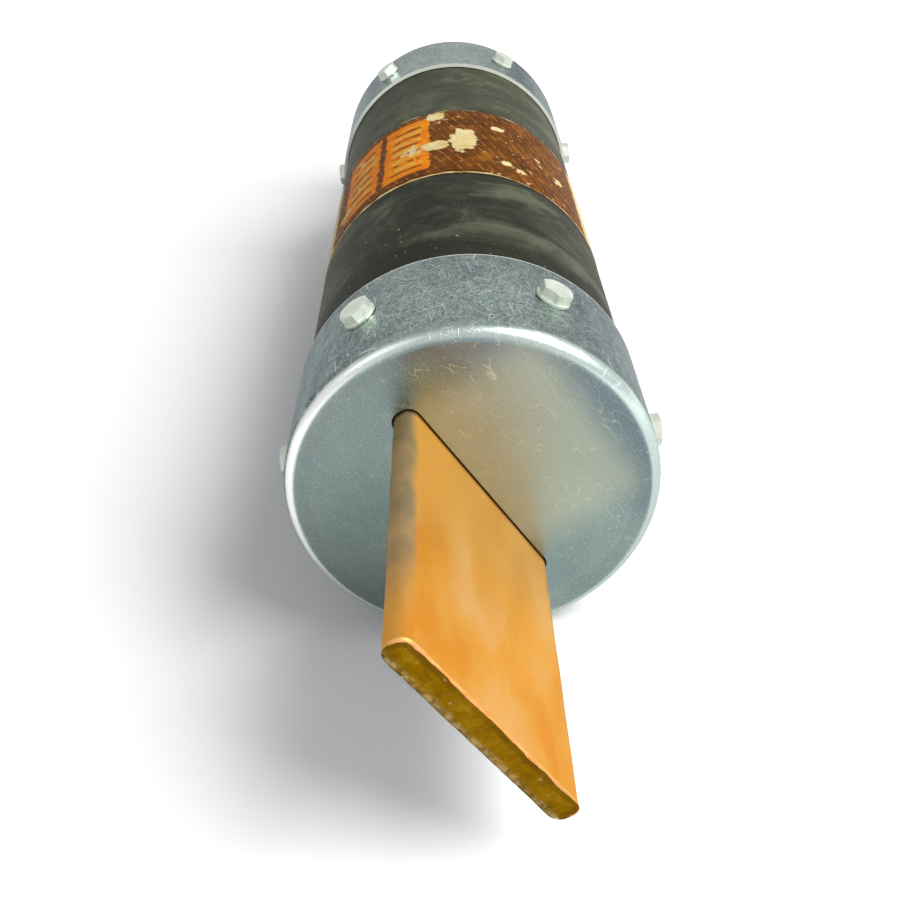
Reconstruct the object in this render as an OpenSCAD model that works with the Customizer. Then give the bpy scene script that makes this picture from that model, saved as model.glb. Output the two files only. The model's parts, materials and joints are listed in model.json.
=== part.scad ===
// Cartridge fuse with two knife blades, screwed end caps and six perforated links.
// The axis of the fuse is X and the near end is +X. The origin is the middle of the body.
// Z is up as the fuse lies, so the blades lean as they do when it has been put down.

/* [Body tube] */
// Outside diameter of the insulating tube
tube_od = 76.9; // [60:0.1:90]
// Wall of the insulating tube
tube_wall = 6.4; // [4:0.1:8]
// Length over the two end caps, without the blades
over_caps = 225.4; // [200:0.1:300]
// Chamfer on the outer edges of the tube's ends
tube_chamfer = 0.8; // [0.4:0.1:2]

/* [Label] */
// Thickness of the paper band
label_t = 0.15; // [0.1:0.05:0.5]
// Thickness of the glue between tube and label
label_glue = 0.03; // [0.02:0.01:0.1]
// Distance from the middle of the tube to the label's near edge
label_near = 24.6; // [10:0.1:60]
// Distance from the middle of the tube to the label's far edge
label_far = 29.8; // [10:0.1:60]

/* [End caps] */
// Sheet thickness of the drawn caps
cap_wall = 1; // [0.8:0.1:2]
// Radial clearance between cap and tube
cap_fit = 0.25; // [0.02:0.01:0.3]
// Depth of a cap, from its outer face to its open rim
cap_depth = 33.8; // [26:0.1:50]
// Outer radius of the bend between face and skirt
cap_bend = 3; // [2.4:0.1:6]
// Clearance round the blade in the cap's slot
slot_gap = 0.4; // [0.2:0.05:1]

/* [Gaskets] */
// Thickness of the fibre gasket under each cap
gasket_t = 1.6; // [0.8:0.1:3]

/* [Blades] */
// Width of a knife blade
blade_w = 50.8; // [30:0.1:52]
// Thickness of a knife blade
blade_t = 5.6; // [5:0.1:8]
// Radius on the long edges of a blade
blade_round = 2.4; // [0.5:0.1:2.45]
// Length of blade that stands out of the cap
blade_out = 63.5; // [40:0.5:90]
// How far the root of a blade is dressed back on every side, to pass the slot
root_relief = 0.1; // [0.05:0.05:0.3]
// Length of that root outside the cap
root_out = 0.3; // [0.1:0.1:1]
// Width of the tang that is brazed into the terminal disc
tang_w = 38; // [20:0.5:40]
// Angle of the blade's width, up from the horizontal
blade_angle = 120; // [0:1:180]

/* [Cap screws] */
// Number of screws in each cap
screw_count = 6; // [3:1:8]
// Angle of the first screw, up from the horizontal
screw_start = 0; // [0:1:60]
// Distance from the cap's outer face to the screws
screw_inset = 19.1; // [15:0.1:24]
// Diameter of a screw's shank
screw_d = 4.2; // [3:0.1:5]
// Length of a screw under its head
screw_len = 12.7; // [10:0.1:13]
// Length of the tapered point of a screw
screw_point = 1.5; // [1:0.1:3]
// Diameter of the blunt tip of that point
screw_tip_d = 2.1; // [1:0.1:2.9]
// Width across the flats of a screw's head
hex_af = 6.35; // [5:0.05:8]
// Height of the hexagon above the flange
hex_h = 2.3; // [1.5:0.1:4]
// Width of the chamfer at the flats on top of the hexagon
hex_chamfer = 0.1; // [0.05:0.05:0.3]
// Slope of that chamfer
hex_slope = 20; // [10:1:45]
// Diameter of the flange under the hexagon
flange_d = 7.6; // [7.5:0.1:12]
// Thickness of that flange
flange_t = 0.5; // [0.4:0.1:1.5]
// Clearance between a screw's flange and the cap
head_gap = 0.03; // [0.02:0.01:0.2]
// Radial clearance of the screw holes in cap and tube
screw_clear = 0.2; // [0.1:0.05:0.5]
// Radial clearance of the screw holes in the terminal discs
thread_clear = 0.03; // [0.02:0.01:0.1]
// Depth of those holes beyond the tips of the screws
drill_extra = 0.8; // [0.3:0.1:1]

/* [Terminal discs] */
// Thickness of a terminal disc
disc_t = 12.7; // [8:0.1:16]
// Radial clearance between disc and tube
disc_fit = 0.1; // [0.05:0.01:0.3]
// Diameter of the sand filling hole
fill_d = 8; // [4:0.5:9]
// Distance from the bore's wall to the middle of the filling hole
fill_inset = 8; // [7:0.1:11]
// Radial clearance of the plug in its hole
plug_fit = 0.05; // [0.02:0.01:0.2]
// Length of a filling plug
plug_len = 9; // [4:0.5:12]
// Diameter of the plug's head
plug_head_d = 10.5; // [10:0.1:11]
// Thickness of the plug's head
plug_head_t = 1.5; // [0.8:0.1:3]

/* [Fuse links] */
// Width of a link
link_w = 12; // [8:0.5:14]
// Thickness of a link
link_t = 0.4; // [0.2:0.05:0.8]
// Links side by side in each of the two rows
links_per_row = 3; // [2:1:3]
// Distance between the centres of neighbouring links
link_pitch = 17; // [15:0.5:18]
// Distance from the axis to each row of links
row_offset = 15; // [13:0.5:17]
// Length of the foot that is brazed to the disc
foot_len = 7; // [4:0.5:8]
// Diameter of the perforations
hole_d = 2.2; // [1:0.1:2.4]
// Distance between the perforations across a link
hole_pitch = 3; // [2.8:0.1:3.5]
// Rows of perforations on each side of the separator
hole_rows = 3; // [1:1:5]
// Distance between rows of perforations
hole_row_pitch = 24; // [8:1:26]
// Distance from the middle to the first row of perforations
first_row = 16; // [12:0.5:20]
// Diameter of an overload bead
bead_d = 5; // [3:0.1:7]
// Thickness of an overload bead
bead_t = 0.8; // [0.3:0.1:2]
// Distance from the middle to the overload beads
bead_x = 7.5; // [6:0.5:9]

/* [Link separator] */
// Thickness of the separator
separator_t = 3; // [1:0.5:5]
// Clearance of the separator in the tube and round the links
separator_fit = 0.1; // [0.05:0.01:0.3]

/* [Hidden] */
$fn = 96;
// Overlap of shapes that are joined
EPS = 0.01;
// How far a cut runs past the faces that it leaves
OVER = 1;
CAP_COLOUR = [0.62, 0.65, 0.66];
COPPER_COLOUR = [0.82, 0.55, 0.28];
BRASS_COLOUR = [0.78, 0.66, 0.36];
TUBE_COLOUR = [0.25, 0.26, 0.22];
LABEL_COLOUR = [0.52, 0.33, 0.16];
SCREW_COLOUR = [0.76, 0.79, 0.74];
FIBRE_COLOUR = [0.55, 0.35, 0.25];
LINK_COLOUR = [0.85, 0.83, 0.80];
TIN_COLOUR = [0.60, 0.62, 0.64];
SAND_COLOUR = [0.88, 0.84, 0.74];

half_body = over_caps / 2;
tube_r = tube_od / 2;
bore_r = tube_r - tube_wall;
cap_inner_r = tube_r + cap_fit;
cap_r = cap_inner_r + cap_wall;
inner_bend = cap_bend - cap_wall;
gasket_face = half_body - cap_wall;
tube_end = gasket_face - gasket_t;
gasket_r = cap_inner_r - inner_bend;
screw_x = half_body - screw_inset;
disc_inner = screw_x - disc_t / 2;
disc_outer = screw_x + disc_t / 2;
disc_r = bore_r - disc_fit;
fill_offset = bore_r - fill_inset;
separator_r = bore_r - separator_fit;
link_middle = (links_per_row - 1) / 2;
link_span = disc_inner - link_t;

// A rod along X from x0 to x1.
module rod(r, x0, x1) {
    translate([x0, 0, 0]) rotate([0, 90, 0]) cylinder(r = r, h = x1 - x0);
}

// Children are drawn for the near end, and mirrored for the far end.
module at_end(near) {
    mirror([near ? 0 : 1, 0, 0]) children();
}

// Turns the blade's own frame, width along Y and thickness along Z, to its angle.
module blade_frame() {
    rotate([blade_angle, 0, 0]) children();
}

// Children are drawn with +Z outwards at each screw of the near end.
module at_screws() {
    for (i = [0 : screw_count - 1])
        rotate([screw_start + i * 360 / screw_count - 90, 0, 0])
            translate([screw_x, 0, 0]) children();
}

// A bar's section with rounded edges, grown by a clearance.
module bar_section(w, t, r, gap = 0) {
    gw = w + 2 * gap;
    gt = t + 2 * gap;
    gr = r + gap;
    square([gw - 2 * gr, gt], center = true);
    square([gw, gt - 2 * gr], center = true);
    for (sy = [-1, 1], sx = [-1, 1])
        translate([sx * (gw / 2 - gr), sy * (gt / 2 - gr)]) circle(r = gr);
}

// A rounded bar of the blade's thickness along X, in the blade's own frame.
module blade_bar(w, x0, x1, gap = 0) {
    blade_frame() translate([x0, 0, 0]) rotate([90, 0, 90])
        linear_extrude(x1 - x0) bar_section(w, blade_t, blade_round, gap);
}

// Half the section of a cup with a rounded edge, for turning about its axis.
module cup_half(r, h, bend) {
    square([r - bend, h]);
    square([r, h - bend]);
    translate([r - bend, h - bend]) circle(r = bend);
}

module body_tube() {
    color(TUBE_COLOUR) difference() {
        rotate([0, 90, 0]) rotate_extrude() polygon([
            [bore_r, -tube_end],
            [tube_r - tube_chamfer, -tube_end],
            [tube_r, -tube_end + tube_chamfer],
            [tube_r, tube_end - tube_chamfer],
            [tube_r - tube_chamfer, tube_end],
            [bore_r, tube_end]]);
        for (near = [true, false]) at_end(near) at_screws()
            translate([0, 0, bore_r - OVER])
                cylinder(r = screw_d / 2 + screw_clear, h = tube_wall + 2 * OVER);
    }
}

module label_wrap() {
    color(LABEL_COLOUR) difference() {
        rod(tube_r + label_glue + label_t, -label_far, label_near);
        rod(tube_r + label_glue, -label_far - OVER, label_near + OVER);
    }
}

// The drawn cup, turned in the frame of its slot.
module cap_cup() {
    blade_frame() translate([half_body - cap_depth, 0, 0]) rotate([0, 90, 0])
        rotate_extrude() difference() {
            cup_half(cap_r, cap_depth, cap_bend);
            translate([0, -OVER]) cup_half(cap_inner_r, cap_depth - cap_wall + OVER, inner_bend);
        }
}

module end_cap(near) {
    color(CAP_COLOUR) at_end(near) difference() {
        cap_cup();
        at_screws() translate([0, 0, tube_r - OVER])
            cylinder(r = screw_d / 2 + screw_clear, h = cap_r - tube_r + 2 * OVER);
        blade_bar(blade_w, gasket_face - OVER, half_body + OVER, slot_gap);
    }
}

module end_gasket(near) {
    color(FIBRE_COLOUR) at_end(near) difference() {
        rod(gasket_r, tube_end, gasket_face);
        blade_bar(blade_w, tube_end - OVER, gasket_face + OVER, slot_gap);
    }
}

module cap_screw() {
    seat = cap_r + head_gap;
    tip = seat - screw_len;
    hex_r = hex_af / 2 / cos(30);
    top_r = hex_af / 2 - hex_chamfer;
    translate([0, 0, tip + screw_point]) cylinder(r = screw_d / 2, h = screw_len - screw_point);
    translate([0, 0, tip]) cylinder(r1 = screw_tip_d / 2, r2 = screw_d / 2, h = screw_point);
    translate([0, 0, seat]) cylinder(r = flange_d / 2, h = flange_t);
    translate([0, 0, seat + flange_t]) intersection() {
        cylinder(r = hex_r, h = hex_h, $fn = 6);
        cylinder(r1 = top_r + hex_h / tan(hex_slope), r2 = top_r, h = hex_h);
    }
}

module cap_screws(near) {
    color(SCREW_COLOUR) at_end(near) at_screws() cap_screw();
}

// The tang fills its slot in the disc, the shoulders of the root rest on the disc,
// and the root is a little smaller than the blade that stands out of the cap.
module blade(near) {
    root_end = half_body + root_out;
    color(COPPER_COLOUR) at_end(near) {
        blade_bar(tang_w, disc_inner, disc_outer + EPS, -root_relief);
        blade_bar(blade_w, disc_outer, root_end + EPS, -root_relief);
        blade_bar(blade_w, root_end, half_body + blade_out);
    }
}

// The place of a filling hole, with +Z outwards along the axis.
module at_fill_hole(x) {
    blade_frame() translate([x, 0, fill_offset]) rotate([0, 90, 0]) children();
}

module terminal_disc(near) {
    color(BRASS_COLOUR) at_end(near) difference() {
        rod(disc_r, disc_inner, disc_outer);
        blade_bar(tang_w, disc_inner - OVER, disc_outer + OVER, -root_relief);
        at_screws() translate([0, 0, cap_r - screw_len - drill_extra])
            cylinder(r = screw_d / 2 + thread_clear, h = screw_len);
        at_fill_hole(disc_inner - OVER) cylinder(r = fill_d / 2, h = disc_t + 2 * OVER);
    }
}

module fill_plug(near) {
    color(BRASS_COLOUR) at_end(near) {
        at_fill_hole(disc_outer - plug_len) cylinder(r = fill_d / 2 - plug_fit, h = plug_len);
        at_fill_hole(disc_outer) cylinder(r = plug_head_d / 2, h = plug_head_t);
    }
}

// Link places: the row's side of the blades, and the place across the row.
function link_side(n) = n <= links_per_row ? 1 : -1;
function link_y(n) = ((n - 1) % links_per_row - link_middle) * link_pitch;

// One link as solid strip with its two bent feet, grown by a clearance. As a cut, it runs
// past the faces of the discs.
module link_strip(n, gap = 0, past = 0) {
    side = link_side(n);
    blade_frame() translate([0, link_y(n), 0]) mirror([0, 0, side > 0 ? 0 : 1]) {
        translate([-disc_inner - past, -link_w / 2 - gap, row_offset - gap])
            cube([2 * (disc_inner + past), link_w + 2 * gap, link_t + 2 * gap]);
        for (x = [-disc_inner - past, link_span])
            translate([x, -link_w / 2, row_offset - foot_len])
                cube([link_t + past, link_w, foot_len + EPS]);
    }
}

// The perforations of one link: full holes across it, and half holes at its edges.
module link_holes(n) {
    across = floor(link_w / 2 / hole_pitch);
    side = link_side(n);
    for (end = [-1, 1], row = [0 : hole_rows - 1], k = [-across : across])
        blade_frame() translate([end * (first_row + row * hole_row_pitch),
                link_y(n) + k * hole_pitch, side * (row_offset + link_t / 2)])
            cylinder(r = hole_d / 2, h = link_t + 2 * OVER, center = true);
}

module fuse_link(n) {
    color(LINK_COLOUR) difference() {
        link_strip(n);
        link_holes(n);
    }
}

// A bead on its link. As a cut, it starts a little inside the link.
module bead(n, root = 0) {
    blade_frame() translate([bead_x, link_y(n), 0]) mirror([0, 0, link_side(n) > 0 ? 0 : 1])
        translate([0, 0, row_offset + link_t - root]) cylinder(r = bead_d / 2, h = bead_t + root);
}

module overload_beads() {
    color(TIN_COLOUR) for (n = [1 : 2 * links_per_row]) bead(n);
}

module link_separator() {
    color(FIBRE_COLOUR) difference() {
        rod(separator_r, -separator_t / 2, separator_t / 2);
        for (n = [1 : 2 * links_per_row]) link_strip(n, separator_fit);
    }
}

module sand_fill(near) {
    color(SAND_COLOUR) difference() {
        at_end(near) rod(bore_r, separator_t / 2, disc_inner);
        for (n = [1 : 2 * links_per_row]) {
            link_strip(n, past = OVER);
            bead(n, root = EPS);
        }
    }
}

body_tube();
label_wrap();
end_cap(true);  // near_end_cap
end_cap(false);  // far_end_cap
end_gasket(true);  // near_end_gasket
end_gasket(false);  // far_end_gasket
cap_screws(true);  // near_cap_screws
cap_screws(false);  // far_cap_screws
blade(true);  // near_blade
blade(false);  // far_blade
terminal_disc(true);  // near_terminal_disc
terminal_disc(false);  // far_terminal_disc
fill_plug(true);  // near_fill_plug
fill_plug(false);  // far_fill_plug
link_separator();
fuse_link(1);  // fuse_link_1
fuse_link(2);  // fuse_link_2
fuse_link(3);  // fuse_link_3
fuse_link(4);  // fuse_link_4
fuse_link(5);  // fuse_link_5
fuse_link(6);  // fuse_link_6
overload_beads();
sand_fill(true);  // near_sand_fill
sand_fill(false);  // far_sand_fill
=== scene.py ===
import json
import math

import bmesh
import bpy
from mathutils import Matrix, Vector, noise


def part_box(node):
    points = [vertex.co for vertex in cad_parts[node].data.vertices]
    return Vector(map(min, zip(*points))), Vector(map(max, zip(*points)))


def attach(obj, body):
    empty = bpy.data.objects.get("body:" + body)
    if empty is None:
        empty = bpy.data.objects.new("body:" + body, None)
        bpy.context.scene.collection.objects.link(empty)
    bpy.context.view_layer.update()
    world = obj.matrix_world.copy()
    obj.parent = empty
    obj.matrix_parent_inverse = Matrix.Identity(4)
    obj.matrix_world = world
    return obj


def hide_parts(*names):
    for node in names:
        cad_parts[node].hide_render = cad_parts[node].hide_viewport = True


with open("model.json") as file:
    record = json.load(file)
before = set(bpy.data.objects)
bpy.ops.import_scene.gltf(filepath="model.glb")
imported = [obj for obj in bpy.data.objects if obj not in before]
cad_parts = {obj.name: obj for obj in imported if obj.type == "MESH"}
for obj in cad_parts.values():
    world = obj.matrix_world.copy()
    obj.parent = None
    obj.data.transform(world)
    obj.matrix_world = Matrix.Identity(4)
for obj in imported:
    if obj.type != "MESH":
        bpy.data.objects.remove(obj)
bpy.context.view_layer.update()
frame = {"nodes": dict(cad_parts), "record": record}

MM = 0.001

# Camera
CAMERA_PLACE = Vector((0.287684, 0.004790, 0.131628))
CAMERA_TARGET = Vector((0.0946349, -0.0045160, 0.0))
CAMERA_ROLL = math.radians(-6.4927)
LENS_MM = 41.803
SENSOR_MM = 36.0
CLIP_NEAR = 0.01
CLIP_FAR = 20.0

# Places taken from the frame, in metres
TUBE_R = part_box("body_tube")[1].z
CAP_LOW, CAP_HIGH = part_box("near_end_cap")
CAP_R = -CAP_LOW.z
CAP_FACE_X = CAP_HIGH.x
LABEL_LOW, LABEL_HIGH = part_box("label_wrap")
LABEL_MID = (LABEL_LOW.x + LABEL_HIGH.x) / 2
BLADE_END_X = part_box("near_blade")[1].x
DISC_LOW, DISC_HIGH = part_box("near_terminal_disc")
FLOOR_Z = CAP_LOW.z

# Floor: half its side, its own paleness, how pale it is seen near and far, and how far out it
# turns to the far paleness and to white
FLOOR_REACH = 4.0
FLOOR_PALE = 0.8
FLOOR_SEEN = 1.28
FLOOR_FAR = 2.6
FLOOR_FADE = (0.22, 0.60)
FLOOR_WHITE = (0.60, 1.20)

# Light
SKY_TINT = (0.96, 0.98, 1.0, 1)
SKY_LIGHT = 0.30
SKY_SEEN = 1.0
MIRRORED_SHARE = 0.6
KEY_PLACE = (0.54, 0.99, 1.10)
KEY_SIZE = 0.95
KEY_WATTS = 25.5
FILL_PLACE = (0.90, -0.85, 0.95)
FILL_SIZE = 0.8
FILL_WATTS = 1.5

# Blade sizes, which repeat the construction's
BLADE_ANGLE = math.radians(120)
BLADE_W = 50.8 * MM
BLADE_T = 5.6 * MM
BLADE_ROUND = 2.4 * MM
TANG_W = 38 * MM
ROOT_RELIEF = 0.1 * MM
ROOT_OUT = 0.3 * MM
FLAT_HALF_W = BLADE_W / 2 - BLADE_ROUND
FLAT_HALF_T = BLADE_T / 2 - BLADE_ROUND

# Shape of the blade's outside: rings along it and over its end, dents, burr and sawn end
BLADE_STEPS = 64
END_STEPS = 7
MARKS_START = 0.5 * MM
DENT_DEPTH = 0.10 * MM
BURR_LENGTH = 1.1 * MM
BURR_SIDE = -1.2 * MM
SAW_DEPTH = 0.18 * MM
SAW_COARSE = 0.16 * MM
SAW_FINE = 0.06 * MM
SAW_LEAST = 0.02 * MM
WELD = 0.02 * MM

# Marks of the caps, painted highlight, shade and reflection among them. A pair holds the two ends of a mark's
# soft edge.
# Measured back from the face:
FACE_EDGE = (0.5 * MM, 0.05 * MM)
# The painted highlight along the bend, and its pale fringe on the skirt:
HIGHLIGHT_OUTER = (1.9 * MM, 0.7 * MM)
HIGHLIGHT_INNER = (0.25 * MM, 0.02 * MM)
HIGHLIGHT_FRINGE = (4.2 * MM, 2.0 * MM)
# Measured from the open rim:
BARE_RIM = (0.05 * MM, 0.40 * MM)
# Measured from the axis along Y:
RIGHT_SIDE = (4 * MM, 20 * MM)
LEFT_SIDE = (-32 * MM, -4 * MM)
# Measured from the axis along Z:
# The first keeps the skirt's top free of the painted shade on its sides, the second spreads its scratches:
UNSHADED_TOP = (27 * MM, 39.6 * MM)
MARKED_TOP = (4 * MM, 26 * MM)
# Measured from the axis along the slanting direction above each:
# The first pair bounds a band of painted shade on the face, the second spreads the curled scratches:
FACE_SHADE_DIRECTION = (0.0, 0.7, 0.71)
FACE_SHADE_SIDE = (14.5 * MM, 23 * MM)
CURLED_DIRECTION = (0.0, 0.6, 0.8)
CURLED_SIDE = (-6 * MM, 14 * MM)
# Here a pair holds the sides of a mark: a ring measured inwards from the skirt, and a painted
# reflection of the blade measured from the middle of the slot, through the blade and across it.
# Soft is how far it fades.
STAIN_RING = (5.2 * MM, 3.4 * MM)
STAIN_SOFT = 0.8 * MM
REFLECTION_THROUGH = (-26 * MM, -BLADE_T / 2 - 2 * MM)
REFLECTION_THROUGH_SOFT = 9 * MM
REFLECTION_ACROSS = (-12 * MM, 18 * MM)
REFLECTION_ACROSS_SOFT = 12 * MM

# Marks of the blades: the first, a painted reflection of the cap, is measured from the cap's face,
# the second from the narrow edge, and the others from the end
CAP_REFLECTION_SPAN = (14 * MM, 44 * MM)
OLIVE_EDGE = (3.1 * MM, 0.8 * MM)
OLIVE_ROOT = (24 * MM, 4 * MM)
PALE_LIP = (1.0 * MM, 0.6 * MM)

# Marks of the tube: painted shade that starts before the near cap, how ragged its start is, and
# the length over which the tube turns paler behind the label
TUBE_SHADE_X = CAP_LOW.x - 12 * MM
TUBE_SHADE_LENGTH = 14 * MM
TUBE_SHADE_RAG = 20 * MM
PALE_TUBE_LENGTH = 3 * MM

# Print of the label: places round each half of it, how far the bars keep inside their blocks,
# and heights as shares of its width
BLOCK_PLACES = ((0.545, 0.655), (0.675, 0.785))
BLOCK_MARGIN = 0.02
STRIP_PLACES = ((0.07, 0.135), (0.84, 0.92))
BLOCK_HEIGHT = (0.10, 0.88)
BAR_HEIGHT = (0.16, 0.82)

# Bare patches of the label: turn from +Y towards +Z as a share of the circle, place along X,
# half width and half length
WORN_PATCHES = (
    (0.232, LABEL_MID + 1.0 * MM, 4.0 * MM, 10.0 * MM),
    (0.266, LABEL_MID + 4.0 * MM, 4.5 * MM, 4.0 * MM),
    (0.262, LABEL_LOW.x + 4.5 * MM, 3.0 * MM, 4.0 * MM),
    (0.190, LABEL_LOW.x + 14.0 * MM, 2.4 * MM, 2.0 * MM),
)

# Shape of the paper band: points round it and across it, its thickness, torn edges and waves
BAND_AROUND = 360
BAND_ACROSS = 26
PAPER_T = 0.14 * MM
FAR_TEAR = 1.5 * MM
NEAR_TEAR = 0.35 * MM
PAPER_WAVE = 0.05 * MM


def colour(r, g, b):
    """A colour given as it looks on the screen, 0 to 255, turned into the shader's own scale."""
    parts = []
    for c in (r, g, b):
        c = c / 255
        parts.append(c / 12.92 if c <= 0.04045 else ((c + 0.055) / 1.055) ** 2.4)
    return (*parts, 1.0)


def blade_frame(along, wide, thick):
    """A point from the blade's own directions (along X, across, through) to the frame."""
    y = wide * math.cos(BLADE_ANGLE) - thick * math.sin(BLADE_ANGLE)
    z = wide * math.sin(BLADE_ANGLE) + thick * math.cos(BLADE_ANGLE)
    return Vector((along, y, z))


def add_object(name, data):
    """A new object in the scene."""
    piece = bpy.data.objects.new(name, data)
    bpy.context.scene.collection.objects.link(piece)
    return piece


# Materials

class Tree:
    """Short ways to add nodes to a node tree."""

    def __init__(self, node_tree):
        self.nodes = node_tree.nodes
        self.links = node_tree.links
        self.nodes.clear()

    def put(self, value, socket):
        if isinstance(value, bpy.types.NodeSocket):
            self.links.new(value, socket)
        elif value is not None:
            socket.default_value = value

    def math(self, operation, a, b=None):
        node = self.nodes.new("ShaderNodeMath")
        node.operation = operation
        self.put(a, node.inputs[0])
        self.put(b, node.inputs[1])
        return node.outputs[0]

    def chain(self, operation, first, others):
        """An operation done with one value after the other."""
        for other in others:
            first = self.math(operation, first, other)
        return first

    def times(self, first, *others):
        return self.chain("MULTIPLY", first, others)

    def plus(self, first, *others):
        return self.chain("ADD", first, others)

    def most(self, first, *others):
        return self.chain("MAXIMUM", first, others)

    def minus(self, a, b):
        return self.math("SUBTRACT", a, b)

    def flip(self, value):
        return self.minus(1.0, value)

    def unsigned(self, value):
        return self.math("ABSOLUTE", value)

    def root_of_squares(self, a, b):
        return self.math("SQRT", self.plus(self.times(a, a), self.times(b, b)))


class Net(Tree):
    """A new material's node tree, with its output and the object's own place."""

    def __init__(self, name):
        self.material = bpy.data.materials.new(name)
        self.material.use_nodes = True
        super().__init__(self.material.node_tree)
        self.output = self.nodes.new("ShaderNodeOutputMaterial")
        self.place = self.nodes.new("ShaderNodeTexCoord").outputs["Object"]

    def split(self, vector):
        node = self.nodes.new("ShaderNodeSeparateXYZ")
        self.put(vector, node.inputs[0])
        return node.outputs

    def join(self, x, y, z):
        node = self.nodes.new("ShaderNodeCombineXYZ")
        for value, socket in zip((x, y, z), node.inputs):
            self.put(value, socket)
        return node.outputs[0]

    def stretch(self, scale, turn=(0, 0, 0), shift=(0, 0, 0), place=None):
        """A place, the object's own unless another is given, turned, shifted and then scaled."""
        turned = self.nodes.new("ShaderNodeMapping")
        turned.inputs["Rotation"].default_value = turn
        turned.inputs["Location"].default_value = shift
        self.put(self.place if place is None else place, turned.inputs["Vector"])
        scaled = self.nodes.new("ShaderNodeMapping")
        scaled.inputs["Scale"].default_value = scale
        self.put(turned.outputs[0], scaled.inputs["Vector"])
        return scaled.outputs[0]

    def dot(self, direction):
        """How far the object's own place lies along a direction."""
        node = self.nodes.new("ShaderNodeVectorMath")
        node.operation = "DOT_PRODUCT"
        self.put(self.place, node.inputs[0])
        node.inputs[1].default_value = direction
        return node.outputs["Value"]

    def step(self, value, low, high):
        """0 below low, 1 above high, and smooth between them."""
        node = self.nodes.new("ShaderNodeMapRange")
        node.interpolation_type = "SMOOTHSTEP"
        self.put(value, node.inputs["Value"])
        node.inputs["From Min"].default_value = low
        node.inputs["From Max"].default_value = high
        return node.outputs["Result"]

    def inside(self, value, low, high, soft):
        """1 between low and high, 0 outside, with soft edges."""
        return self.times(self.step(value, low - soft, low), self.flip(self.step(value, high, high + soft)))

    def noise(self, scale, detail=2.0, rough=0.5, vector=None, distort=0.0):
        node = self.nodes.new("ShaderNodeTexNoise")
        self.put(self.place if vector is None else vector, node.inputs["Vector"])
        node.inputs["Scale"].default_value = scale
        node.inputs["Detail"].default_value = detail
        node.inputs["Roughness"].default_value = rough
        node.inputs["Distortion"].default_value = distort
        return node.outputs["Fac"]

    def shifted_noise(self, shift, scale, detail=2.0, rough=0.5, distort=0.0):
        """A noise of its own, unlike the others of the same scale."""
        return self.noise(scale, detail, rough, self.stretch((1, 1, 1), shift=shift), distort)

    def wander(self, scale, reach, detail=2.0, rough=0.5):
        """A noise round 0 that makes an edge ragged."""
        return self.times(self.minus(self.noise(scale, detail, rough), 0.5), reach)

    def ramp(self, value, *stops):
        """A ramp of grey levels or colours, given as (position, level) pairs."""
        node = self.nodes.new("ShaderNodeValToRGB")
        elements = node.color_ramp.elements
        while len(elements) < len(stops):
            elements.new(0.5)
        for element, (position, level) in zip(elements, stops):
            element.position = position
            element.color = level if isinstance(level, tuple) else (level, level, level, 1)
        self.put(value, node.inputs[0])
        return node.outputs["Color"]

    def mix(self, share, a, b, blend="MIX"):
        node = self.nodes.new("ShaderNodeMix")
        node.data_type = "RGBA"
        node.blend_type = blend
        self.put(share, node.inputs["Factor"])
        self.put(a, node.inputs[6])
        self.put(b, node.inputs[7])
        return node.outputs[2]

    def coat(self, base, share, tone):
        """The base with a share of another colour laid over it."""
        return self.mix(share, base, tone)

    def shade(self, base, share, tone):
        """The base with a share of it multiplied by another colour."""
        return self.mix(share, base, self.mix(1.0, base, tone, "MULTIPLY"))

    def bump(self, height, distance, strength=1.0, normal=None):
        node = self.nodes.new("ShaderNodeBump")
        self.put(height, node.inputs["Height"])
        self.put(normal, node.inputs["Normal"])
        node.inputs["Distance"].default_value = distance
        node.inputs["Strength"].default_value = strength
        return node.outputs[0]

    def surface(self, **sockets):
        node = self.nodes.new("ShaderNodeBsdfPrincipled")
        for name, value in sockets.items():
            self.put(value, node.inputs[name.replace("_", " ")])
        self.links.new(node.outputs[0], self.output.inputs["Surface"])
        return self.material

    def hair_scratches(self, scale, width, count, seed, place, run, turn, share):
        """Thin curved scratches: the middle lines of a few noises, cut into short strokes."""
        found = 0.0
        for k in range(count):
            shift = (seed + 0.37 * k, 0.21 * k, -0.13 * k)
            where = self.stretch((1 / run, 1, 1), (0, 0, turn + 0.1 * k), shift, place)
            line = self.unsigned(self.minus(self.noise(scale, 1.5, vector=where), 0.5))
            thin = self.flip(self.step(line, 0.0, width))
            cut = self.noise(scale * 0.9, 0.0, vector=self.stretch((1, 1, 1), shift=shift, place=place))
            found = self.most(self.times(thin, self.step(cut, share, share + 0.06)), found)
        return found

    def strokes(self, place, length, width, turns, share):
        """Short straight scratches on a flat or unrolled place, at the given turns."""
        found = 0.0
        for k, turn in enumerate(turns):
            shift = (0.03 * k, 0.05 * k, 7.0 * k)
            where = self.stretch((1 / length, 1 / width, 1), (0, 0, turn), shift, place)
            one = self.step(self.noise(1.0, 1.0, 0.4, where), share, share + 0.08)
            found = self.most(one, found)
        return found


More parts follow.
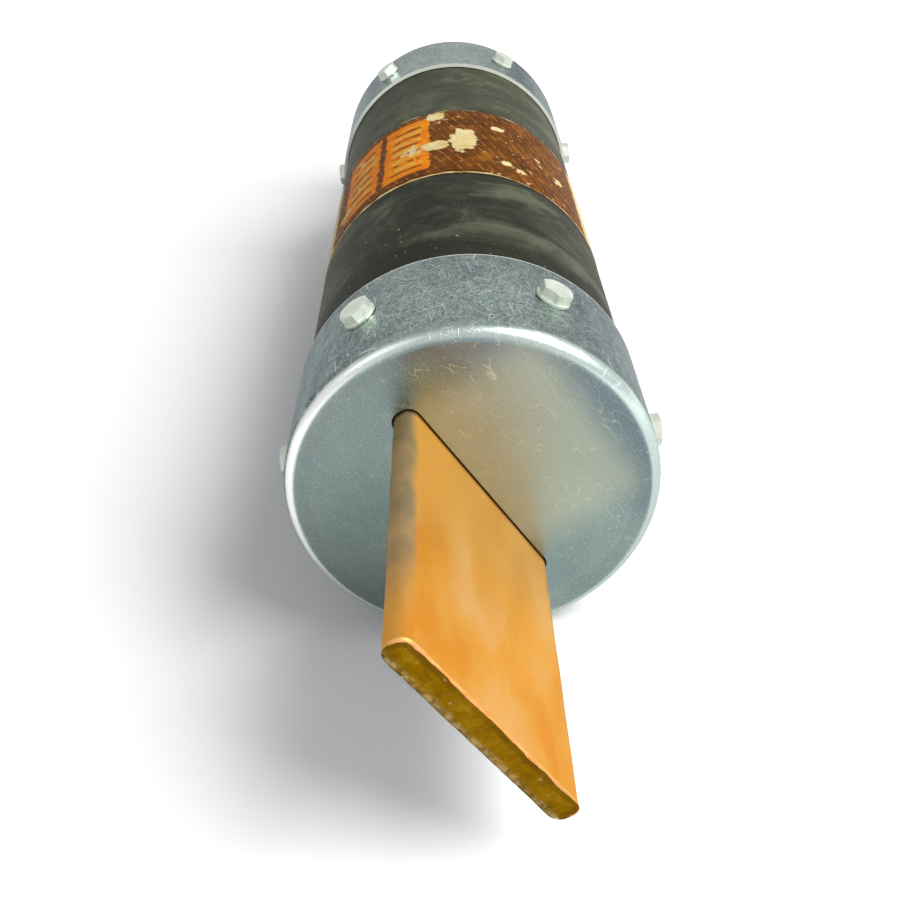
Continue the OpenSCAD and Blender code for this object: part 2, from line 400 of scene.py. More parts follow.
def cap_aluminium():
    """Drawn aluminium: scratched skirt, smoother face and bare cut rim, with a painted highlight along the
    bend, painted shade on the skirt's sides and on a band of the face, and a painted reflection of the blade
    beside the slot.
    """
    net = Net("cap_aluminium")
    x, y, z = net.split(net.place)
    along = net.unsigned(x)
    around = net.times(net.math("ARCTAN2", y, z), CAP_R)
    unrolled = net.join(x, around, 0.0)
    flat = net.join(y, z, 0.0)

    def up_to_face(value, span):
        return net.step(value, CAP_FACE_X - span[0], CAP_FACE_X - span[1])

    # Where the parts of the cap lie
    ragged = net.plus(along, net.wander(130, 0.7 * MM, 4, 0.6))
    face = up_to_face(along, FACE_EDGE)
    skirt = net.flip(face)
    right = net.step(y, *RIGHT_SIDE)
    left = net.flip(net.step(y, *LEFT_SIDE))
    far = net.flip(net.step(x, -MM, MM))
    broad = net.plus(ragged, net.times(right, 1.1 * MM))
    # The painted highlight's line round the bend, broader at the right, and its pale fringe
    line = net.times(up_to_face(broad, HIGHLIGHT_OUTER), net.flip(up_to_face(along, HIGHLIGHT_INNER)))
    band = net.times(up_to_face(ragged, HIGHLIGHT_FRINGE), skirt)
    rim = net.flip(net.step(along, CAP_LOW.x + BARE_RIM[0], CAP_LOW.x + BARE_RIM[1]))
    ring = net.inside(net.root_of_squares(y, z), CAP_R - STAIN_RING[0], CAP_R - STAIN_RING[1], STAIN_SOFT)

    # The metal, its pits, painted shade on the skirt's sides and on the face, and the painted highlight along
    # the bend
    clouds = net.noise(34, 5, 0.62)
    grain = net.noise(2600, 2.0, 0.6)
    soft_grain = net.noise(900, 4, 0.7)
    base = net.ramp(clouds, (0.3, colour(122, 139, 136)), (0.7, colour(144, 160, 156)))
    skirt_base = net.ramp(clouds, (0.32, colour(104, 122, 121)), (0.68, colour(152, 168, 164)))
    base = net.coat(base, skirt, skirt_base)
    flecks = net.ramp(grain, (0.38, 0.42), (0.5, 0.96), (0.62, 2.2))
    base = net.shade(base, net.plus(net.times(skirt, 0.34), 0.16), flecks)
    patches = net.ramp(soft_grain, (0.38, 0.60), (0.62, 1.42))
    base = net.shade(base, net.times(skirt, 0.8), patches)
    base = net.coat(base, net.times(ring, face, 0.26), colour(128, 126, 130))
    # Pale fringe of the painted highlight on the skirt
    base = net.coat(base, net.times(band, 0.45), colour(176, 190, 186))
    # Painted shade: the skirt's sides darker below its top, more on the far cap, in streaks
    side_shade = net.times(skirt, net.flip(net.step(z, *UNSHADED_TOP)))
    side_shade = net.times(side_shade, net.plus(net.times(far, 0.22), 0.74))
    streak_place = net.join(net.times(x, 30), net.times(around, 260), 0.0)
    streaky = net.ramp(net.noise(1, 3, 0.6, streak_place), (0.35, 0.55), (0.65, 1.0))
    base = net.shade(base, net.times(side_shade, streaky), colour(96, 96, 92))
    # Painted shade: a band of the face beyond the slot, darker and cooler
    face_shade = net.times(face, net.step(net.dot(FACE_SHADE_DIRECTION), *FACE_SHADE_SIDE))
    base = net.shade(base, net.times(face_shade, 0.9), colour(222, 226, 240))
    # Painted highlight along the bend, whitest at the left, broader and softer at the right
    base = net.coat(base, net.times(line, 0.72), colour(210, 222, 217))
    base = net.coat(base, net.times(line, left), colour(252, 255, 252))
    base = net.coat(base, net.times(line, right, 0.8), colour(190, 206, 200))

    # Scratches, the painted reflection of the blade beside the slot, and bare rim
    skirt_marks = net.strokes(unrolled, 9.0 * MM, 0.24 * MM, (0.2, 0.9, 1.45, 1.62, 1.8, 2.4, 3.0), 0.68)
    upward = net.plus(net.times(net.step(z, *MARKED_TOP), 0.75), 0.25)
    skirt_marks = net.times(skirt_marks, upward, skirt)
    face_marks = net.strokes(flat, 4.0 * MM, 0.18 * MM, (0.5, 0.75, 1.2, 2.2, 2.8), 0.715)
    curls = net.hair_scratches(190, 0.0040, 4, 0.3, flat, run=4.0, turn=0.75, share=0.50)
    curled = net.step(net.dot(CURLED_DIRECTION), *CURLED_SIDE)
    curls = net.times(curls, net.plus(net.times(curled, 0.85), 0.15))
    hairs = net.times(net.most(curls, face_marks), face)
    # Painted reflection of the blade: a pale warm patch on the face beside the slot
    above_slot = net.inside(net.dot(blade_frame(0, 0, 1)), *REFLECTION_THROUGH, REFLECTION_THROUGH_SOFT)
    by_slot = net.inside(net.dot(blade_frame(0, 1, 0)), *REFLECTION_ACROSS, REFLECTION_ACROSS_SOFT)
    patch_mask = net.times(above_slot, by_slot, face)
    specks = net.step(net.shifted_noise((0.4, 0.2, 0.1), 1500, 1.0), 0.72, 0.78)
    base = net.coat(base, net.times(skirt_marks, 0.80), colour(244, 250, 248))
    base = net.coat(base, net.times(specks, 0.40), colour(236, 242, 240))
    # Painted reflection of the blade
    base = net.coat(base, net.times(patch_mask, 0.50), colour(194, 200, 172))
    base = net.coat(base, net.times(hairs, 0.26), colour(240, 240, 226))
    base = net.coat(base, net.times(rim, 0.95), colour(250, 254, 242))

    # Shine and relief
    # Less metal under the painted reflection of the blade and the right part of the painted highlight
    metallic = net.flip(net.most(rim, net.times(patch_mask, 0.30), net.times(line, right, 0.30)))
    rough = net.plus(net.times(clouds, 0.14), net.times(grain, 0.12), net.minus(0.22, net.times(skirt, 0.06)))
    height = net.plus(net.times(soft_grain, 0.6), net.times(grain, 0.5))
    height = net.times(height, net.plus(net.times(skirt, 0.28), 0.10))
    height = net.minus(height, net.times(net.most(hairs, skirt_marks), 0.3))
    normal = net.bump(height, 0.05 * MM, 0.7)
    normal = net.bump(net.noise(60, 2), 0.25 * MM, 0.4, normal)
    # The painted shade on the skirt's sides also darkens its edge reflections
    side_shade_tint = net.mix(side_shade, (1, 1, 1, 1), colour(198, 208, 212))
    return net.surface(Base_Color=base, Metallic=metallic, Roughness=rough, Normal=normal,
                       Specular_Tint=side_shade_tint)


def blade_copper():
    """Bare copper bar: diagonal streaks of tarnish, olive narrow edges, a pale lip at the end and a painted
    reflection of the cap near its root.
    """
    net = Net("blade_copper")
    along = net.unsigned(net.split(net.place)[0])
    across = net.unsigned(net.dot(blade_frame(0, 1, 0)))
    streaks = net.noise(75, 4, 0.55, net.stretch((0.3, 1.0, 1.0), turn=(0.5, 0.35, 0)), 0.4)
    marks = net.noise(700, 2, 0.5, net.stretch((0.05, 1, 1)))
    base = net.ramp(streaks, (0.36, colour(218, 144, 48)), (0.52, colour(222, 160, 72)),
                    (0.68, colour(224, 172, 104)))
    base = net.coat(base, net.step(net.noise(26, 2), 0.48, 0.66), colour(230, 156, 44))
    # Painted reflection of the cap: paler copper near the cap's face
    cap_reflection = net.flip(net.step(along, CAP_FACE_X + CAP_REFLECTION_SPAN[0], CAP_FACE_X + CAP_REFLECTION_SPAN[1]))
    base = net.coat(base, net.times(cap_reflection, 0.48), colour(228, 180, 104))

    ragged = net.plus(across, net.wander(120, 2.0 * MM, 3))
    narrow = net.step(ragged, BLADE_W / 2 - OLIVE_EDGE[0], BLADE_W / 2 - OLIVE_EDGE[1])
    root = net.flip(net.step(along, BLADE_END_X - OLIVE_ROOT[0], BLADE_END_X - OLIVE_ROOT[1]))
    olive = net.ramp(net.noise(160, 4, 0.6), (0.35, colour(122, 124, 104)), (0.65, colour(172, 152, 114)))
    base = net.coat(base, net.times(narrow, root, 0.8), olive)

    ragged_end = net.plus(along, net.wander(420, 0.6 * MM))
    lip = net.step(ragged_end, BLADE_END_X - PALE_LIP[0], BLADE_END_X - PALE_LIP[1])
    upper = net.flip(net.step(net.dot(blade_frame(0, 0, 1)), -0.4 * MM, 1.2 * MM))
    lip_tone = net.ramp(net.noise(300, 2), (0.35, colour(232, 158, 80)), (0.65, colour(242, 186, 116)))
    base = net.coat(base, net.times(lip, upper, 0.9), lip_tone)

    rough = net.plus(net.times(streaks, 0.2), 0.40)
    normal = net.bump(marks, 0.02 * MM, 0.5)
    normal = net.bump(net.noise(90, 2), 0.1 * MM, 0.4, normal)
    return net.surface(Base_Color=base, Metallic=0.55, Roughness=rough, Normal=normal,
                       Specular_IOR_Level=0.15, Specular_Tint=(0.92, 0.64, 0.28, 1))


def blade_end_copper():
    """The sawn end: olive and ridged, with a ragged lip above, a painted shadow of the lip just inside its
    edge, and pale chips along the lower edge.
    """
    net = Net("blade_end_copper")
    through = net.plus(net.dot(blade_frame(0, 0, 1)), BLADE_T / 2)
    ragged = net.plus(through, net.wander(190, 1.5 * MM, 3, 0.55))

    # How far a place lies inside the bar's rounded outline, made ragged by a wave
    side = net.unsigned(net.dot(blade_frame(0, 1, 0)))
    side = net.most(net.minus(side, BLADE_W / 2 - BLADE_ROUND), 0.0)
    depth = net.most(net.minus(BLADE_ROUND, through), 0.0)
    inset = net.minus(BLADE_ROUND, net.root_of_squares(side, depth))
    inset = net.plus(inset, net.wander(130, 1.9 * MM, 3, 0.55))

    ridges = net.noise(1, 4, 0.6, net.stretch((900, 260, 1500), turn=(math.radians(-30), 0, 0)))
    mottle = net.noise(240, 7, 0.74)
    base = net.ramp(mottle, (0.3, colour(98, 68, 0)), (0.55, colour(142, 104, 0)),
                    (0.75, colour(178, 136, 36)))
    base = net.coat(base, net.times(net.step(ridges, 0.5, 0.7), 0.4), colour(158, 124, 44))
    # Painted shadow of the lip: a darker band just inside the end's edge
    dark = net.inside(inset, 0.3 * MM, 1.1 * MM, 0.5 * MM)
    dark = net.times(dark, net.ramp(net.noise(90, 2), (0.35, 0.15), (0.65, 0.75)))
    base = net.coat(base, dark, colour(96, 66, 10))
    lower = net.step(ragged, BLADE_T - 1.6 * MM, BLADE_T - 0.4 * MM)
    lower_tone = net.ramp(net.noise(650, 3), (0.4, colour(92, 84, 56)), (0.6, colour(196, 176, 130)))
    base = net.coat(base, net.times(lower, 0.5), lower_tone)
    chips = net.step(net.plus(net.noise(520, 2), net.times(lower, 0.05)), 0.70, 0.74)
    chips = net.times(chips, net.plus(net.times(lower, 0.65), 0.20))
    base = net.coat(base, chips, colour(232, 220, 176))
    lip = net.flip(net.step(inset, 0.10 * MM, 0.34 * MM))
    lip = net.times(lip, net.flip(net.step(through, 2.0 * MM, 3.6 * MM)))
    lip_tone = net.ramp(mottle, (0.35, colour(232, 150, 84)), (0.65, colour(244, 184, 126)))
    base = net.coat(base, lip, lip_tone)

    height = net.plus(ridges, net.times(mottle, 0.8), net.times(lip, 1.4))
    normal = net.bump(height, 0.12 * MM, 0.8)
    rough = net.plus(net.times(mottle, 0.2), 0.42)
    return net.surface(Base_Color=base, Metallic=0.85, Roughness=rough, Normal=normal,
                       Specular_IOR_Level=0.15, Specular_Tint=(0.95, 0.70, 0.30, 1))


def tube_laminate():
    """Dark laminated tube: turned, scuffed, with soot, dusty patches, pin pits, a few pale chips and painted
    shade before the near cap.
    """
    net = Net("tube_laminate")
    x, y, z = net.split(net.place)
    unrolled = net.join(x, net.times(net.math("ARCTAN2", y, z), TUBE_R), 0.0)
    clouds = net.noise(42, 7, 0.68, net.stretch((1.3, 0.8, 0.8)), 0.5)
    rings = net.noise(500, 3, 0.6, net.stretch((1, 0.05, 0.05)))
    blotches = net.shifted_noise((3, 1, 2), 80, 5, 0.62, 0.8)
    soot = net.step(blotches, 0.54, 0.68)
    dust = net.step(net.shifted_noise((0.7, 0.2, 0.5), 75, 6, 0.7, 1.0), 0.55, 0.72)
    # Painted shade: the tube goes dark before the near cap, with a ragged start
    tube_shade = net.step(net.plus(x, net.times(blotches, TUBE_SHADE_RAG)), TUBE_SHADE_X, TUBE_SHADE_X + TUBE_SHADE_LENGTH)
    far_part = net.flip(net.step(x, LABEL_LOW.x - PALE_TUBE_LENGTH, LABEL_LOW.x))
    scuffs = net.strokes(unrolled, 7.0 * MM, 0.28 * MM, (0.3, 1.1, 2.0, 2.6), 0.72)
    gouges = net.strokes(unrolled, 9.0 * MM, 1.3 * MM, (0.7, 2.2), 0.70)
    knocks = net.step(net.shifted_noise((6, 2, 5), 40, 2), 0.50, 0.62)
    chips = net.times(net.step(net.shifted_noise((1, 5, 2), 620, 2, 0.6), 0.70, 0.75), knocks)
    pits = net.step(net.shifted_noise((4, 2, 2), 900, 1), 0.74, 0.79)

    base = net.ramp(clouds, (0.40, colour(20, 20, 12)), (0.5, colour(48, 50, 37)), (0.60, colour(92, 95, 78)))
    base = net.coat(base, net.times(dust, 0.35), colour(104, 108, 102))
    base = net.coat(base, net.times(far_part, 0.25), colour(104, 106, 84))
    base = net.coat(base, net.times(soot, 0.55), colour(24, 23, 14))
    base = net.coat(base, net.times(gouges, 0.6), colour(22, 22, 16))
    # Painted shade before the near cap
    base = net.coat(base, net.times(tube_shade, 0.86), colour(14, 13, 5))
    base = net.coat(base, net.times(rings, 0.12), colour(110, 112, 92))
    base = net.coat(base, net.times(scuffs, 0.25), colour(150, 152, 136))
    base = net.coat(base, net.times(chips, 0.75), colour(196, 196, 178))
    base = net.coat(base, net.times(pits, 0.6), colour(150, 104, 40))

    rough = net.plus(net.times(clouds, 0.25), 0.40)
    height = net.plus(rings, net.times(clouds, 1.5))
    height = net.minus(height, net.plus(chips, net.times(gouges, 0.5)))
    normal = net.bump(height, 0.06 * MM, 0.7)
    return net.surface(Base_Color=base, Roughness=rough, Normal=normal, Specular_IOR_Level=0.06)


def label_paper():
    """A worn printed band: pairs of orange blocks with bars on dashed brown, between bare cream strips."""
    net = Net("label_paper")
    x, y, z = net.split(net.place)
    turn = net.math("DIVIDE", net.math("ARCTAN2", z, y), 2 * math.pi)
    across = net.math("DIVIDE", net.minus(x, LABEL_LOW.x), LABEL_HIGH.x - LABEL_LOW.x)
    wobble = net.wander(420, 0.014, 3)
    place = net.math("FRACT", net.times(net.plus(turn, wobble), 2))
    ragged = net.plus(across, wobble)

    def bands(places, margin, soft):
        return net.most(*(net.inside(place, low + margin, high - margin, soft) for low, high in places))

    # The print
    blocks = net.times(bands(BLOCK_PLACES, 0.0, 0.004), net.inside(ragged, *BLOCK_HEIGHT, 0.012))
    inner = net.times(bands(BLOCK_PLACES, BLOCK_MARGIN, 0.004), net.inside(ragged, *BAR_HEIGHT, 0.01))
    strips = bands(STRIP_PLACES, 0.0, 0.008)
    bars = net.math("SINE", net.times(ragged, 52))
    printed = net.times(inner, net.step(net.shifted_noise((2, 0, 1), 260, 4, 0.6), 0.42, 0.47))
    cream_bars = net.times(net.step(bars, 0.35, 0.55), printed)
    dark_bars = net.times(net.flip(net.step(bars, -0.8, -0.6)), printed)
    slant = net.plus(net.times(turn, 84), net.times(ragged, 7))
    dashes = net.unsigned(net.minus(net.math("FRACT", slant), 0.5))
    dashes = net.flip(net.step(dashes, 0.03, 0.075))
    rows = net.unsigned(net.math("SINE", net.times(ragged, 26)))
    dashes = net.times(dashes, net.step(rows, 0.30, 0.42))
    patch_mask = net.step(net.shifted_noise((5, 3, 1), 240, 4, 0.6), 0.40, 0.55)
    fade = net.noise(170, 5, 0.68)
    brown = net.ramp(fade, (0.3, colour(64, 34, 2)), (0.55, colour(112, 62, 4)), (0.78, colour(172, 106, 20)))
    orange = net.ramp(fade, (0.3, colour(222, 104, 0)), (0.55, colour(244, 142, 0)),
                      (0.78, colour(246, 178, 30)))
    bare_paper = net.ramp(fade, (0.3, colour(214, 186, 112)), (0.7, colour(244, 230, 180)))
    base = net.coat(brown, net.times(dashes, patch_mask, 0.8), colour(206, 128, 60))
    base = net.coat(base, blocks, orange)
    base = net.coat(base, net.times(cream_bars, 0.8), colour(228, 190, 84))
    base = net.coat(base, net.times(dark_bars, 0.8), colour(110, 48, 6))
    base = net.coat(base, net.times(strips, 0.85), bare_paper)

    # The wear
    worn = net.step(net.shifted_noise((0.12, 0.31, 0.2), 85, 5, 0.62, 0.3), 0.63, 0.65)
    tear = net.wander(260, 2.8, 5, 0.66)
    for turn_at, x_at, half_width, half_length in WORN_PATCHES:
        half_turn = half_width / (2 * math.pi * LABEL_HIGH.z)
        side = net.math("DIVIDE", net.minus(turn, turn_at), half_turn)
        up = net.math("DIVIDE", net.minus(x, x_at), half_length)
        reach = net.plus(net.times(side, side), net.times(up, up), tear)
        worn = net.most(worn, net.flip(net.step(reach, 0.85, 1.0)))
    chips = net.step(net.noise(420, 4, 0.6), 0.66, 0.69)
    off_middle = net.unsigned(net.minus(across, 0.5))
    edge = net.step(net.plus(off_middle, net.wander(220, 0.05, 4)), 0.487, 0.493)
    bare = net.most(worn, chips, edge)
    base = net.coat(base, bare, bare_paper)

    height = net.minus(net.noise(500, 3), net.times(bare, 0.8))
    normal = net.bump(height, 0.05 * MM, 0.8)
    rough = net.plus(net.times(bare, 0.25), 0.50)
    return net.surface(Base_Color=base, Roughness=rough, Normal=normal, Specular_IOR_Level=0.03)


def screw_zinc():
    """Zinc plated steel with a pale greenish bloom."""
    net = Net("screw_zinc")
    bloom = net.noise(420, 4, 0.6)
    base = net.ramp(bloom, (0.3, colour(216, 224, 208)), (0.6, colour(238, 244, 230)),
                    (0.8, colour(248, 250, 236)))
    rough = net.plus(net.times(bloom, 0.25), 0.26)
    normal = net.bump(net.noise(1100, 3), 0.03 * MM, 0.6)
    return net.surface(Base_Color=base, Metallic=0.6, Roughness=rough, Normal=normal)


def plain_finish(name, low, high, scale, metallic, roughness, depth):
    """A finish of one kind of stuff: two colours mixed by a noise, with grain in its relief."""
    net = Net(name)
    grain = net.noise(scale, 4, 0.6)
    base = net.ramp(grain, (0.3, low), (0.7, high))
    normal = net.bump(net.noise(scale * 3, 3), depth, 0.7)
    rough = net.plus(net.times(grain, 0.2), roughness)
    return net.surface(Base_Color=base, Metallic=metallic, Roughness=rough, Normal=normal)


# Pieces

def bar_outline(width, thick, radius, arc_steps=6, pitch=0.9 * MM):
    """Points round a bar's section with rounded edges, as (across, through) pairs."""
    points = []
    corners = ((1, 1, 0), (-1, 1, 90), (-1, -1, 180), (1, -1, 270))
    for k, (sx, sy, start) in enumerate(corners):
        centre = (sx * (width / 2 - radius), sy * (thick / 2 - radius))
        for i in range(arc_steps + 1):
            a = math.radians(start + 90 * i / arc_steps)
            points.append((centre[0] + radius * math.cos(a), centre[1] + radius * math.sin(a)))
        span = width - 2 * radius if k % 2 == 0 else thick - 2 * radius
        steps = max(1, round(span / pitch))
        step_x, step_y = ((-1, 0), (0, -1), (1, 0), (0, 1))[k]
        last = points[-1]
        for i in range(1, steps):
            move = span * i / steps
            points.append((last[0] + step_x * move, last[1] + step_y * move))
    return points


def core_point(u, v):
    """The closest point of the blade's core, which lies between the centres of its roundings."""
    return max(-FLAT_HALF_W, min(FLAT_HALF_W, u)), max(-FLAT_HALF_T, min(FLAT_HALF_T, v))


def bar_section(width, thick, radius):
    """The blade's outline, fitted to another width, thickness and rounding point by point."""
    made = []
    for u, v in bar_outline(BLADE_W, BLADE_T, BLADE_ROUND):
        cu, cv = core_point(u, v)
        new_u = cu * (width / 2 - radius) / FLAT_HALF_W + (u - cu) * radius / BLADE_ROUND
        new_v = cv * (thick / 2 - radius) / FLAT_HALF_T + (v - cv) * radius / BLADE_ROUND
        made.append((new_u, new_v))
    return made


def outward(u, v):
    """The direction out of the blade at a point of its section, or zero within its core."""
    cu, cv = core_point(u, v)
    out = Vector((u - cu, v - cv))
    if out.length > 0:
        out.normalize()
    return out


def dent(x, u, v, seed):
    """How far a point of the outside moves inwards, from soft dents that grow towards the corners."""
    where = Vector((x * 90, u * 90, v * 90 + seed))
    corner = abs(u) / (BLADE_W / 2)
    return DENT_DEPTH * (0.3 + corner ** 6) * (noise.noise(where) + 0.2)


def burr(x, u, v, seed):
    """How far the lip stands out, close to the end."""
    near = max(0.0, 1 - (BLADE_END_X - x) / BURR_LENGTH)
    coarse = noise.noise(Vector((u * 260, v * 260, seed)))
    fine = noise.noise(Vector((u * 900, seed, v * 900)))
    side_share = 1.0 if v < BURR_SIDE else 0.3
    return near * near * side_share * max(0.0, 0.10 + 0.35 * (coarse + 0.5 * fine)) * MM


def sawn_drop(u, v, seed):
    """How far a point of the sawn end lies behind the blade's full length."""
    saw = noise.noise(Vector((u * 420, v * 60, seed + 3)))
    rough = noise.noise(Vector((u * 1500, v * 1500, seed + 9)))
    return max(SAW_LEAST, SAW_DEPTH + SAW_COARSE * saw + SAW_FINE * rough)


def mesh_piece(name, bm, materials):
    """A piece from a finished mesh, hidden from diffuse rays. Its own colour would show in the
    shadow, which is neutral in the photograph."""
    bmesh.ops.recalc_face_normals(bm, faces=bm.faces)
    mesh = bpy.data.meshes.new(name)
    bm.to_mesh(mesh)
    bm.free()
    for material in materials:
        mesh.materials.append(material)
    piece = add_object(name, mesh)
    piece.visible_diffuse = False
    return piece


def knife_blade(name, node, side, seed, materials):
    """One copper blade with its tang and shoulders, a sawn end, a burr round it and small dents."""
    bm = bmesh.new()

    def ring_at(points):
        """A ring of points in the blade's own directions, on the near or the far side."""
        ring = []
        for along, u, v in points:
            point = blade_frame(along, u, v)
            point.x *= side
            ring.append(bm.verts.new(point))
        return ring

    root_end = CAP_FACE_X + ROOT_OUT
    dressed_t = BLADE_T - 2 * ROOT_RELIEF
    dressed_round = BLADE_ROUND - ROOT_RELIEF
    tang = bar_section(TANG_W - 2 * ROOT_RELIEF, dressed_t, dressed_round)
    root = bar_section(BLADE_W - 2 * ROOT_RELIEF, dressed_t, dressed_round)
    full = bar_section(BLADE_W, BLADE_T, BLADE_ROUND)
    stations = [(DISC_LOW.x, tang), (DISC_HIGH.x, tang), (DISC_HIGH.x, root), (root_end, root),
                (root_end, full)]
    length = BLADE_END_X - root_end
    stations += [(root_end + length * i / BLADE_STEPS, full) for i in range(1, BLADE_STEPS + 1)]

    rings = []
    for x, section in stations:
        points = []
        for u, v in section:
            out = outward(u, v)
            move = 0.0
            if x > root_end + MARKS_START:
                move = burr(x, u, v, seed) - dent(x, u, v, seed)
            points.append((x, u + out.x * move, v + out.y * move))
        rings.append(ring_at(points))
    for k in range(1, END_STEPS + 1):
        share = 1 - k / END_STEPS
        narrowing = 1 - (BLADE_T / 2) * (1 - share) / (BLADE_W / 2)
        growth = min(1.0, 1.6 * k / END_STEPS + 0.3)
        points = []
        for u, v in full:
            u_in = u * narrowing
            v_in = v * share
            points.append((BLADE_END_X - sawn_drop(u_in, v_in, seed) * growth, u_in, v_in))
        rings.append(ring_at(points))

    count = len(full)
    for k in range(len(rings) - 1):
        for i in range(count):
            j = (i + 1) % count
            face = bm.faces.new((rings[k][i], rings[k][j], rings[k + 1][j], rings[k + 1][i]))
            face.material_index = 1 if k >= len(stations) - 1 else 0
            face.smooth = True
    bm.faces.new(list(reversed(rings[0])))
    bmesh.ops.remove_doubles(bm, verts=rings[-1], dist=WELD)
    piece = mesh_piece(name, bm, materials)
    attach(piece, "root")
    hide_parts(node)


def label_band(material):
    """The paper band as a thin closed ring whose far edge is torn and whose near edge is slightly ragged."""
    outer_r = LABEL_HIGH.z
    bm = bmesh.new()

    def edge(angle, seed, depth):
        """How far an edge is torn back at an angle."""
        where = Vector((math.cos(angle) * 5, math.sin(angle) * 5, seed))
        coarse = noise.fractal(where, 0.6, 2.1, 5)
        return depth * max(0.0, coarse + 0.25)

    shells = []
    for radius in (outer_r, outer_r - PAPER_T):
        grid = []
        for i in range(BAND_AROUND):
            angle = 2 * math.pi * i / BAND_AROUND
            low = LABEL_LOW.x + edge(angle, 2.0, FAR_TEAR)
            high = LABEL_HIGH.x - edge(angle, 7.0, NEAR_TEAR)
            lift = PAPER_WAVE * (noise.noise(Vector((math.cos(angle) * 4, math.sin(angle) * 4, 0))) - 0.5)
            r = radius + (min(0.0, lift) if radius == outer_r else 0.0)
            row = []
            for j in range(BAND_ACROSS + 1):
                x = low + (high - low) * j / BAND_ACROSS
                row.append(bm.verts.new((x, r * math.cos(angle), r * math.sin(angle))))
            grid.append(row)
        shells.append(grid)
    outer, inner = shells
    for i in range(BAND_AROUND):
        n = (i + 1) % BAND_AROUND
        for j in range(BAND_ACROSS):
            bm.faces.new((outer[i][j], outer[i][j + 1], outer[n][j + 1], outer[n][j])).smooth = True
            bm.faces.new((inner[i][j], inner[n][j], inner[n][j + 1], inner[i][j + 1])).smooth = True
        for j in (0, BAND_ACROSS):
            bm.faces.new((outer[i][j], outer[n][j], inner[n][j], inner[i][j]))
    piece = mesh_piece("label_band", bm, [material])
    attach(piece, "root")
    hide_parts("label_wrap")


def finish_nodes():
    """Gives each carried-over node of the frame its own finish."""
    finishes = {
        "tube": tube_laminate(),
        "cap": cap_aluminium(),
        "screw": screw_zinc(),
        "fibre": plain_finish("fibre_board", colour(104, 50, 30), colour(146, 78, 52), scale=260,
                              metallic=0.0, roughness=0.6, depth=0.05 * MM),
        "disc": plain_finish("turned_brass", colour(190, 150, 70), colour(224, 188, 110), scale=120,
                             metallic=1.0, roughness=0.22, depth=0.02 * MM),
        "link": plain_finish("silver_strip", colour(206, 200, 190), colour(236, 232, 226), scale=150,
                             metallic=1.0, roughness=0.2, depth=0.01 * MM),
        "bead": plain_finish("tin_alloy", colour(150, 152, 156), colour(186, 188, 192), scale=500,
                             metallic=1.0, roughness=0.35, depth=0.04 * MM),
        "sand": plain_finish("quartz_sand", colour(196, 178, 138), colour(238, 226, 196), scale=1800,
                             metallic=0.0, roughness=0.7, depth=0.25 * MM),
    }
    for part in frame["record"]["subparts"]:
        finish = finishes.get(part["material_slot"])
        if finish is None:
            continue
        node = frame["nodes"][part["node"]]
        node.data.materials.clear()
        node.data.materials.append(finish)


# Stage, light and camera

def seen_rays(net):
    """1 on rays that show the surroundings straight, and a share of it on those that mirror them."""
    rays = net.nodes.new("ShaderNodeLightPath")
    either = net.most(rays.outputs["Is Glossy Ray"], rays.outputs["Is Transmission Ray"])
    mirrored = net.times(either, net.math("LESS_THAN", rays.outputs["Diffuse Depth"], 0.5))
    return net.most(rays.outputs["Is Camera Ray"], net.times(mirrored, MIRRORED_SHARE))


def pale_floor():
    """A wide pale floor that looks white where no shadow falls."""
    corners = [(x * FLOOR_REACH, y * FLOOR_REACH, FLOOR_Z) for x, y in ((-1, -1), (1, -1), (1, 1), (-1, 1))]
    mesh = bpy.data.meshes.new("pale_floor")
    mesh.from_pydata(corners, [], [(0, 1, 2, 3)])
    floor = add_object("pale_floor", mesh)
    net = Net("pale_floor")
    x, y = net.split(net.place)[:2]
    reach = net.root_of_squares(x, y)
    extra = net.times(net.step(reach, *FLOOR_FADE), FLOOR_FAR - FLOOR_SEEN)
    extra = net.times(seen_rays(net), net.plus(extra, FLOOR_SEEN - FLOOR_PALE))
    diffuse = net.nodes.new("ShaderNodeBsdfDiffuse")
    net.put(net.plus(extra, FLOOR_PALE), diffuse.inputs["Color"])
    white = net.nodes.new("ShaderNodeEmission")
    either = net.nodes.new("ShaderNodeMixShader")
    net.put(net.times(seen_rays(net), net.step(reach, *FLOOR_WHITE)), either.inputs[0])
    net.put(diffuse.outputs[0], either.inputs[1])
    net.put(white.outputs[0], either.inputs[2])
    net.put(either.outputs[0], net.output.inputs["Surface"])
    mesh.materials.append(net.material)


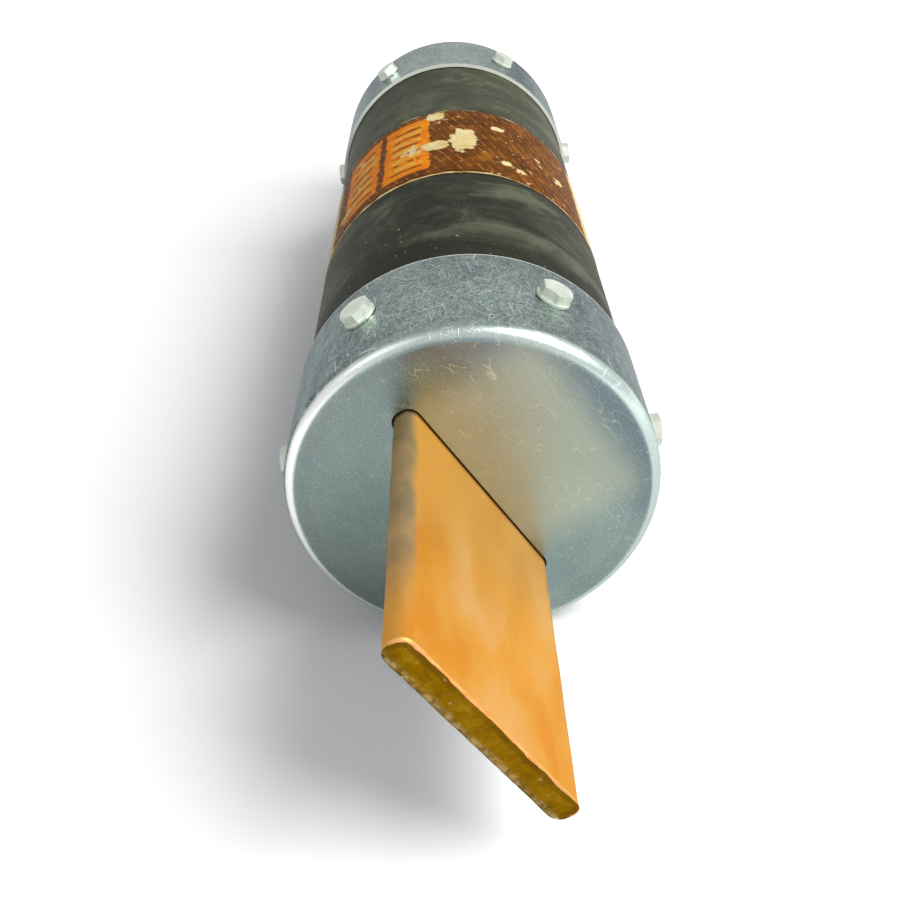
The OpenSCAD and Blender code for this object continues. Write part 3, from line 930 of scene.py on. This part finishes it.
def sky():
    """An even pale world: white to the camera and in reflections, dimmer as a light."""
    world = bpy.data.worlds.new("pale_sky")
    bpy.context.scene.world = world
    world.use_nodes = True
    net = Tree(world.node_tree)
    light = net.nodes.new("ShaderNodeBackground")
    light.inputs["Color"].default_value = SKY_TINT
    light.inputs["Strength"].default_value = SKY_LIGHT
    seen = net.nodes.new("ShaderNodeBackground")
    seen.inputs["Color"].default_value = (1, 1, 1, 1)
    seen.inputs["Strength"].default_value = SKY_SEEN
    either = net.nodes.new("ShaderNodeMixShader")
    out = net.nodes.new("ShaderNodeOutputWorld")
    net.put(seen_rays(net), either.inputs[0])
    net.put(light.outputs[0], either.inputs[1])
    net.put(seen.outputs[0], either.inputs[2])
    net.put(either.outputs[0], out.inputs["Surface"])


def softbox(name, place, size, watts):
    """A square area light that faces the middle of the fuse."""
    data = bpy.data.lights.new(name, "AREA")
    data.shape = "SQUARE"
    data.size = size
    data.energy = watts
    lamp = add_object(name, data)
    lamp.location = place
    lamp.rotation_euler = (-Vector(place)).to_track_quat("-Z", "Y").to_euler()


def camera():
    """The photograph's camera."""
    data = bpy.data.cameras.new("photo_camera")
    data.lens = LENS_MM
    data.sensor_width = SENSOR_MM
    data.clip_start = CLIP_NEAR
    data.clip_end = CLIP_FAR
    eye = add_object("photo_camera", data)
    facing = (CAMERA_TARGET - CAMERA_PLACE).to_track_quat("-Z", "Y").to_matrix().to_4x4()
    eye.matrix_world = Matrix.Translation(CAMERA_PLACE) @ facing @ Matrix.Rotation(CAMERA_ROLL, 4, "Z")
    bpy.context.scene.camera = eye


camera()
finish_nodes()
copper = [blade_copper(), blade_end_copper()]
knife_blade("near_blade_copper", "near_blade", 1, 11.0, copper)
knife_blade("far_blade_copper", "far_blade", -1, 23.0, copper)
label_band(label_paper())
pale_floor()
sky()
softbox("key_light", KEY_PLACE, KEY_SIZE, KEY_WATTS)
softbox("fill_light", FILL_PLACE, FILL_SIZE, FILL_WATTS)
bpy.context.scene.view_settings.view_transform = "Standard"
